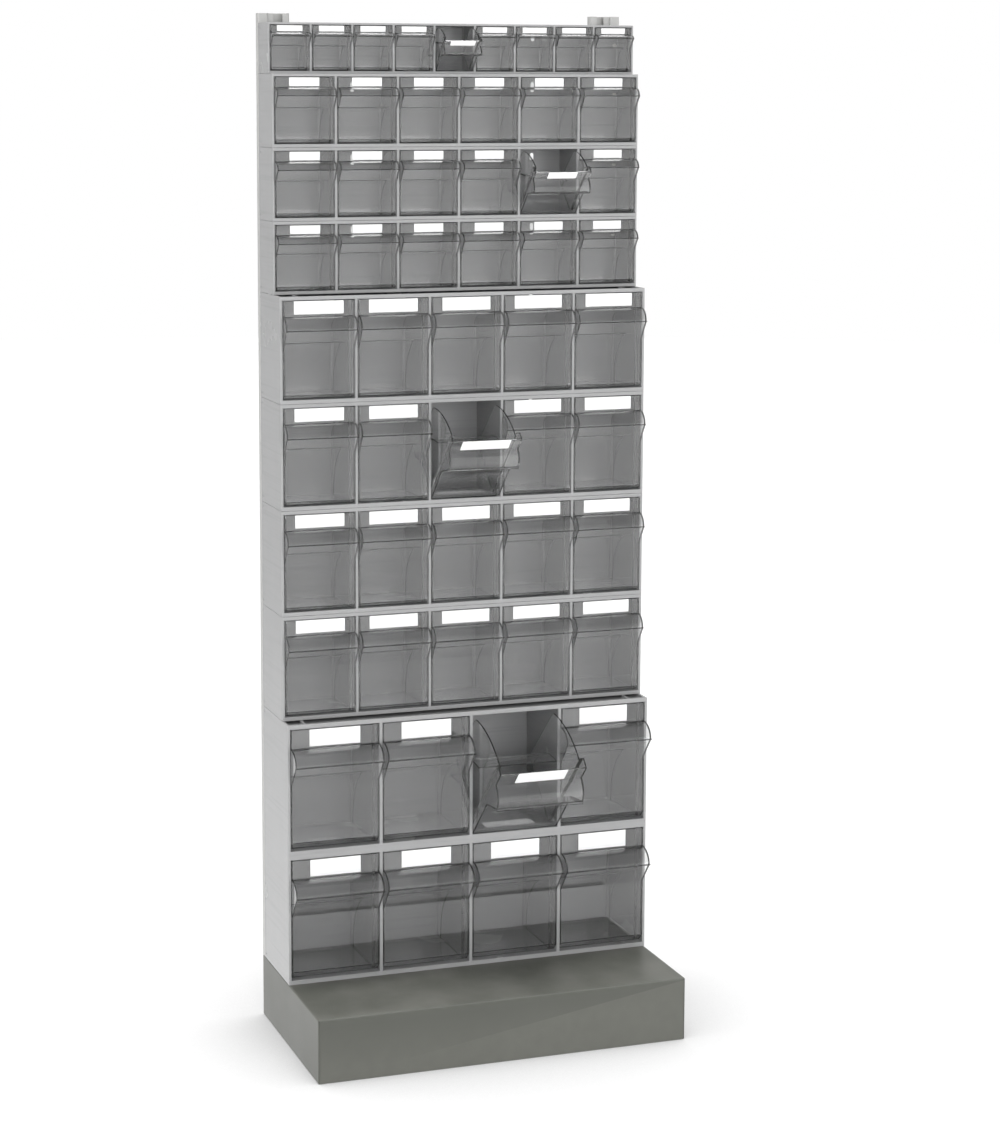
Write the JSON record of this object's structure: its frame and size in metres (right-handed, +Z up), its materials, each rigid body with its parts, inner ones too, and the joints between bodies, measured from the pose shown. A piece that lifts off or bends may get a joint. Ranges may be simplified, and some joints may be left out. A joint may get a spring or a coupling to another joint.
{
  "type": "small parts drawer cabinet",
  "caption": "Floor stand of stacked housings with clear tilt-out bins in four sizes, on two uprights and a folded steel plinth.",
  "frame": {"origin": "middle of the plinth's footprint, on the floor", "axes": "+Z up; the bins face -Y and tilt out towards -Y; +X runs to the right of someone facing the bins"},
  "size_m": [0.6, 0.32, 1.6],
  "materials": {
    "plinth_paint": "satin powder coat",
    "upright_paint": "satin powder coat",
    "housing_plastic": "moulded, fine grain",
    "clear_plastic": "clear, glossy",
    "label_card": "plain white card",
    "screw_zinc": "zinc plated"
  },
  "bodies": {
    "stand": {"plinth": "plinth_paint", "uprights": "upright_paint", "upper_housings": "housing_plastic", "lower_housings": "housing_plastic", "screws": "screw_zinc"},
    "tiny_bin_1": {"tiny_bin_1": "clear_plastic"},
    "tiny_bin_2": {"tiny_bin_2": "clear_plastic"},
    "tiny_bin_3": {"tiny_bin_3": "clear_plastic"},
    "tiny_bin_4": {"tiny_bin_4": "clear_plastic"},
    "tiny_bin_5": {"tiny_bin_5": "clear_plastic"},
    "tiny_bin_6": {"tiny_bin_6": "clear_plastic"},
    "tiny_bin_7": {"tiny_bin_7": "clear_plastic"},
    "tiny_bin_8": {"tiny_bin_8": "clear_plastic"},
    "tiny_bin_9": {"tiny_bin_9": "clear_plastic"},
    "small_bin_a1": {"small_bin_a1": "clear_plastic"},
    "small_bin_a2": {"small_bin_a2": "clear_plastic"},
    "small_bin_a3": {"small_bin_a3": "clear_plastic"},
    "small_bin_a4": {"small_bin_a4": "clear_plastic"},
    "small_bin_a5": {"small_bin_a5": "clear_plastic"},
    "small_bin_a6": {"small_bin_a6": "clear_plastic"},
    "small_bin_b1": {"small_bin_b1": "clear_plastic"},
    "small_bin_b2": {"small_bin_b2": "clear_plastic"},
    "small_bin_b3": {"small_bin_b3": "clear_plastic"},
    "small_bin_b4": {"small_bin_b4": "clear_plastic"},
    "small_bin_b5": {"small_bin_b5": "clear_plastic"},
    "small_bin_b6": {"small_bin_b6": "clear_plastic"},
    "small_bin_c1": {"small_bin_c1": "clear_plastic"},
    "small_bin_c2": {"small_bin_c2": "clear_plastic"},
    "small_bin_c3": {"small_bin_c3": "clear_plastic"},
    "small_bin_c4": {"small_bin_c4": "clear_plastic"},
    "small_bin_c5": {"small_bin_c5": "clear_plastic"},
    "small_bin_c6": {"small_bin_c6": "clear_plastic"},
    "medium_bin_a1": {"medium_bin_a1": "clear_plastic"},
    "medium_bin_a2": {"medium_bin_a2": "clear_plastic"},
    "medium_bin_a3": {"medium_bin_a3": "clear_plastic"},
    "medium_bin_a4": {"medium_bin_a4": "clear_plastic"},
    "medium_bin_a5": {"medium_bin_a5": "clear_plastic"},
    "medium_bin_b1": {"medium_bin_b1": "clear_plastic"},
    "medium_bin_b2": {"medium_bin_b2": "clear_plastic"},
    "medium_bin_b3": {"medium_bin_b3": "clear_plastic"},
    "medium_bin_b4": {"medium_bin_b4": "clear_plastic"},
    "medium_bin_b5": {"medium_bin_b5": "clear_plastic"},
    "medium_bin_c1": {"medium_bin_c1": "clear_plastic"},
    "medium_bin_c2": {"medium_bin_c2": "clear_plastic"},
    "medium_bin_c3": {"medium_bin_c3": "clear_plastic"},
    "medium_bin_c4": {"medium_bin_c4": "clear_plastic"},
    "medium_bin_c5": {"medium_bin_c5": "clear_plastic"},
    "medium_bin_d1": {"medium_bin_d1": "clear_plastic"},
    "medium_bin_d2": {"medium_bin_d2": "clear_plastic"},
    "medium_bin_d3": {"medium_bin_d3": "clear_plastic"},
    "medium_bin_d4": {"medium_bin_d4": "clear_plastic"},
    "medium_bin_d5": {"medium_bin_d5": "clear_plastic"},
    "large_bin_a1": {"large_bin_a1": "clear_plastic"},
    "large_bin_a2": {"large_bin_a2": "clear_plastic"},
    "large_bin_a3": {"large_bin_a3": "clear_plastic"},
    "large_bin_a4": {"large_bin_a4": "clear_plastic"},
    "large_bin_b1": {"large_bin_b1": "clear_plastic"},
    "large_bin_b2": {"large_bin_b2": "clear_plastic"},
    "large_bin_b3": {"large_bin_b3": "clear_plastic"},
    "large_bin_b4": {"large_bin_b4": "clear_plastic"}
  },
  "joints": [
    {"name": "tiny_bin_1_tilt", "type": "hinge", "parent": "stand", "child": "tiny_bin_1", "pos_m": [-0.26551, 0.095, 1.5175], "axis": [1, 0, 0], "range_deg": [0, 45]},
    {"name": "tiny_bin_2_tilt", "type": "hinge", "parent": "stand", "child": "tiny_bin_2", "pos_m": [-0.19913, 0.095, 1.5175], "axis": [1, 0, 0], "range_deg": [0, 45]},
    {"name": "tiny_bin_3_tilt", "type": "hinge", "parent": "stand", "child": "tiny_bin_3", "pos_m": [-0.13276, 0.095, 1.5175], "axis": [1, 0, 0], "range_deg": [0, 45]},
    {"name": "tiny_bin_4_tilt", "type": "hinge", "parent": "stand", "child": "tiny_bin_4", "pos_m": [-0.06638, 0.095, 1.5175], "axis": [1, 0, 0], "range_deg": [0, 45]},
    {"name": "tiny_bin_5_tilt", "type": "hinge", "parent": "stand", "child": "tiny_bin_5", "pos_m": [0, 0.095, 1.5175], "axis": [1, 0, 0], "range_deg": [-45, 0]},
    {"name": "tiny_bin_6_tilt", "type": "hinge", "parent": "stand", "child": "tiny_bin_6", "pos_m": [0.06638, 0.095, 1.5175], "axis": [1, 0, 0], "range_deg": [0, 45]},
    {"name": "tiny_bin_7_tilt", "type": "hinge", "parent": "stand", "child": "tiny_bin_7", "pos_m": [0.13276, 0.095, 1.5175], "axis": [1, 0, 0], "range_deg": [0, 45]},
    {"name": "tiny_bin_8_tilt", "type": "hinge", "parent": "stand", "child": "tiny_bin_8", "pos_m": [0.19913, 0.095, 1.5175], "axis": [1, 0, 0], "range_deg": [0, 45]},
    {"name": "tiny_bin_9_tilt", "type": "hinge", "parent": "stand", "child": "tiny_bin_9", "pos_m": [0.26551, 0.095, 1.5175], "axis": [1, 0, 0], "range_deg": [0, 45]},
    {"name": "small_bin_a1_tilt", "type": "hinge", "parent": "stand", "child": "small_bin_a1", "pos_m": [-0.24917, 0.075, 1.4085], "axis": [1, 0, 0], "range_deg": [0, 45]},
    {"name": "small_bin_a2_tilt", "type": "hinge", "parent": "stand", "child": "small_bin_a2", "pos_m": [-0.1495, 0.075, 1.4085], "axis": [1, 0, 0], "range_deg": [0, 45]},
    {"name": "small_bin_a3_tilt", "type": "hinge", "parent": "stand", "child": "small_bin_a3", "pos_m": [-0.04983, 0.075, 1.4085], "axis": [1, 0, 0], "range_deg": [0, 45]},
    {"name": "small_bin_a4_tilt", "type": "hinge", "parent": "stand", "child": "small_bin_a4", "pos_m": [0.04983, 0.075, 1.4085], "axis": [1, 0, 0], "range_deg": [0, 45]},
    {"name": "small_bin_a5_tilt", "type": "hinge", "parent": "stand", "child": "small_bin_a5", "pos_m": [0.1495, 0.075, 1.4085], "axis": [1, 0, 0], "range_deg": [0, 45]},
    {"name": "small_bin_a6_tilt", "type": "hinge", "parent": "stand", "child": "small_bin_a6", "pos_m": [0.24917, 0.075, 1.4085], "axis": [1, 0, 0], "range_deg": [0, 45]},
    {"name": "small_bin_b1_tilt", "type": "hinge", "parent": "stand", "child": "small_bin_b1", "pos_m": [-0.24917, 0.075, 1.2965], "axis": [1, 0, 0], "range_deg": [0, 45]},
    {"name": "small_bin_b2_tilt", "type": "hinge", "parent": "stand", "child": "small_bin_b2", "pos_m": [-0.1495, 0.075, 1.2965], "axis": [1, 0, 0], "range_deg": [0, 45]},
    {"name": "small_bin_b3_tilt", "type": "hinge", "parent": "stand", "child": "small_bin_b3", "pos_m": [-0.04983, 0.075, 1.2965], "axis": [1, 0, 0], "range_deg": [0, 45]},
    {"name": "small_bin_b4_tilt", "type": "hinge", "parent": "stand", "child": "small_bin_b4", "pos_m": [0.04983, 0.075, 1.2965], "axis": [1, 0, 0], "range_deg": [0, 45]},
    {"name": "small_bin_b5_tilt", "type": "hinge", "parent": "stand", "child": "small_bin_b5", "pos_m": [0.1495, 0.075, 1.2965], "axis": [1, 0, 0], "range_deg": [-45, 0]},
    {"name": "small_bin_b6_tilt", "type": "hinge", "parent": "stand", "child": "small_bin_b6", "pos_m": [0.24917, 0.075, 1.2965], "axis": [1, 0, 0], "range_deg": [0, 45]},
    {"name": "small_bin_c1_tilt", "type": "hinge", "parent": "stand", "child": "small_bin_c1", "pos_m": [-0.24917, 0.075, 1.1845], "axis": [1, 0, 0], "range_deg": [0, 45]},
    {"name": "small_bin_c2_tilt", "type": "hinge", "parent": "stand", "child": "small_bin_c2", "pos_m": [-0.1495, 0.075, 1.1845], "axis": [1, 0, 0], "range_deg": [0, 45]},
    {"name": "small_bin_c3_tilt", "type": "hinge", "parent": "stand", "child": "small_bin_c3", "pos_m": [-0.04983, 0.075, 1.1845], "axis": [1, 0, 0], "range_deg": [0, 45]},
    {"name": "small_bin_c4_tilt", "type": "hinge", "parent": "stand", "child": "small_bin_c4", "pos_m": [0.04983, 0.075, 1.1845], "axis": [1, 0, 0], "range_deg": [0, 45]},
    {"name": "small_bin_c5_tilt", "type": "hinge", "parent": "stand", "child": "small_bin_c5", "pos_m": [0.1495, 0.075, 1.1845], "axis": [1, 0, 0], "range_deg": [0, 45]},
    {"name": "small_bin_c6_tilt", "type": "hinge", "parent": "stand", "child": "small_bin_c6", "pos_m": [0.24917, 0.075, 1.1845], "axis": [1, 0, 0], "range_deg": [0, 45]},
    {"name": "medium_bin_a1_tilt", "type": "hinge", "parent": "stand", "child": "medium_bin_a1", "pos_m": [-0.2384, 0.04, 1.0225], "axis": [1, 0, 0], "range_deg": [0, 45]},
    {"name": "medium_bin_a2_tilt", "type": "hinge", "parent": "stand", "child": "medium_bin_a2", "pos_m": [-0.1192, 0.04, 1.0225], "axis": [1, 0, 0], "range_deg": [0, 45]},
    {"name": "medium_bin_a3_tilt", "type": "hinge", "parent": "stand", "child": "medium_bin_a3", "pos_m": [0, 0.04, 1.0225], "axis": [1, 0, 0], "range_deg": [0, 45]},
    {"name": "medium_bin_a4_tilt", "type": "hinge", "parent": "stand", "child": "medium_bin_a4", "pos_m": [0.1192, 0.04, 1.0225], "axis": [1, 0, 0], "range_deg": [0, 45]},
    {"name": "medium_bin_a5_tilt", "type": "hinge", "parent": "stand", "child": "medium_bin_a5", "pos_m": [0.2384, 0.04, 1.0225], "axis": [1, 0, 0], "range_deg": [0, 45]},
    {"name": "medium_bin_b1_tilt", "type": "hinge", "parent": "stand", "child": "medium_bin_b1", "pos_m": [-0.2384, 0.04, 0.858], "axis": [1, 0, 0], "range_deg": [0, 45]},
    {"name": "medium_bin_b2_tilt", "type": "hinge", "parent": "stand", "child": "medium_bin_b2", "pos_m": [-0.1192, 0.04, 0.858], "axis": [1, 0, 0], "range_deg": [0, 45]},
    {"name": "medium_bin_b3_tilt", "type": "hinge", "parent": "stand", "child": "medium_bin_b3", "pos_m": [0, 0.04, 0.858], "axis": [1, 0, 0], "range_deg": [-45, 0]},
    {"name": "medium_bin_b4_tilt", "type": "hinge", "parent": "stand", "child": "medium_bin_b4", "pos_m": [0.1192, 0.04, 0.858], "axis": [1, 0, 0], "range_deg": [0, 45]},
    {"name": "medium_bin_b5_tilt", "type": "hinge", "parent": "stand", "child": "medium_bin_b5", "pos_m": [0.2384, 0.04, 0.858], "axis": [1, 0, 0], "range_deg": [0, 45]},
    {"name": "medium_bin_c1_tilt", "type": "hinge", "parent": "stand", "child": "medium_bin_c1", "pos_m": [-0.2384, 0.04, 0.6935], "axis": [1, 0, 0], "range_deg": [0, 45]},
    {"name": "medium_bin_c2_tilt", "type": "hinge", "parent": "stand", "child": "medium_bin_c2", "pos_m": [-0.1192, 0.04, 0.6935], "axis": [1, 0, 0], "range_deg": [0, 45]},
    {"name": "medium_bin_c3_tilt", "type": "hinge", "parent": "stand", "child": "medium_bin_c3", "pos_m": [0, 0.04, 0.6935], "axis": [1, 0, 0], "range_deg": [0, 45]},
    {"name": "medium_bin_c4_tilt", "type": "hinge", "parent": "stand", "child": "medium_bin_c4", "pos_m": [0.1192, 0.04, 0.6935], "axis": [1, 0, 0], "range_deg": [0, 45]},
    {"name": "medium_bin_c5_tilt", "type": "hinge", "parent": "stand", "child": "medium_bin_c5", "pos_m": [0.2384, 0.04, 0.6935], "axis": [1, 0, 0], "range_deg": [0, 45]},
    {"name": "medium_bin_d1_tilt", "type": "hinge", "parent": "stand", "child": "medium_bin_d1", "pos_m": [-0.2384, 0.04, 0.529], "axis": [1, 0, 0], "range_deg": [0, 45]},
    {"name": "medium_bin_d2_tilt", "type": "hinge", "parent": "stand", "child": "medium_bin_d2", "pos_m": [-0.1192, 0.04, 0.529], "axis": [1, 0, 0], "range_deg": [0, 45]},
    {"name": "medium_bin_d3_tilt", "type": "hinge", "parent": "stand", "child": "medium_bin_d3", "pos_m": [0, 0.04, 0.529], "axis": [1, 0, 0], "range_deg": [0, 45]},
    {"name": "medium_bin_d4_tilt", "type": "hinge", "parent": "stand", "child": "medium_bin_d4", "pos_m": [0.1192, 0.04, 0.529], "axis": [1, 0, 0], "range_deg": [0, 45]},
    {"name": "medium_bin_d5_tilt", "type": "hinge", "parent": "stand", "child": "medium_bin_d5", "pos_m": [0.2384, 0.04, 0.529], "axis": [1, 0, 0], "range_deg": [0, 45]},
    {"name": "large_bin_a1_tilt", "type": "hinge", "parent": "stand", "child": "large_bin_a1", "pos_m": [-0.22387, 0.018, 0.324], "axis": [1, 0, 0], "range_deg": [0, 45]},
    {"name": "large_bin_a2_tilt", "type": "hinge", "parent": "stand", "child": "large_bin_a2", "pos_m": [-0.07462, 0.018, 0.324], "axis": [1, 0, 0], "range_deg": [0, 45]},
    {"name": "large_bin_a3_tilt", "type": "hinge", "parent": "stand", "child": "large_bin_a3", "pos_m": [0.07462, 0.018, 0.324], "axis": [1, 0, 0], "range_deg": [-45, 0]},
    {"name": "large_bin_a4_tilt", "type": "hinge", "parent": "stand", "child": "large_bin_a4", "pos_m": [0.22387, 0.018, 0.324], "axis": [1, 0, 0], "range_deg": [0, 45]},
    {"name": "large_bin_b1_tilt", "type": "hinge", "parent": "stand", "child": "large_bin_b1", "pos_m": [-0.22387, 0.018, 0.117], "axis": [1, 0, 0], "range_deg": [0, 45]},
    {"name": "large_bin_b2_tilt", "type": "hinge", "parent": "stand", "child": "large_bin_b2", "pos_m": [-0.07462, 0.018, 0.117], "axis": [1, 0, 0], "range_deg": [0, 45]},
    {"name": "large_bin_b3_tilt", "type": "hinge", "parent": "stand", "child": "large_bin_b3", "pos_m": [0.07462, 0.018, 0.117], "axis": [1, 0, 0], "range_deg": [0, 45]},
    {"name": "large_bin_b4_tilt", "type": "hinge", "parent": "stand", "child": "large_bin_b4", "pos_m": [0.22387, 0.018, 0.117], "axis": [1, 0, 0], "range_deg": [0, 45]}
  ]
}
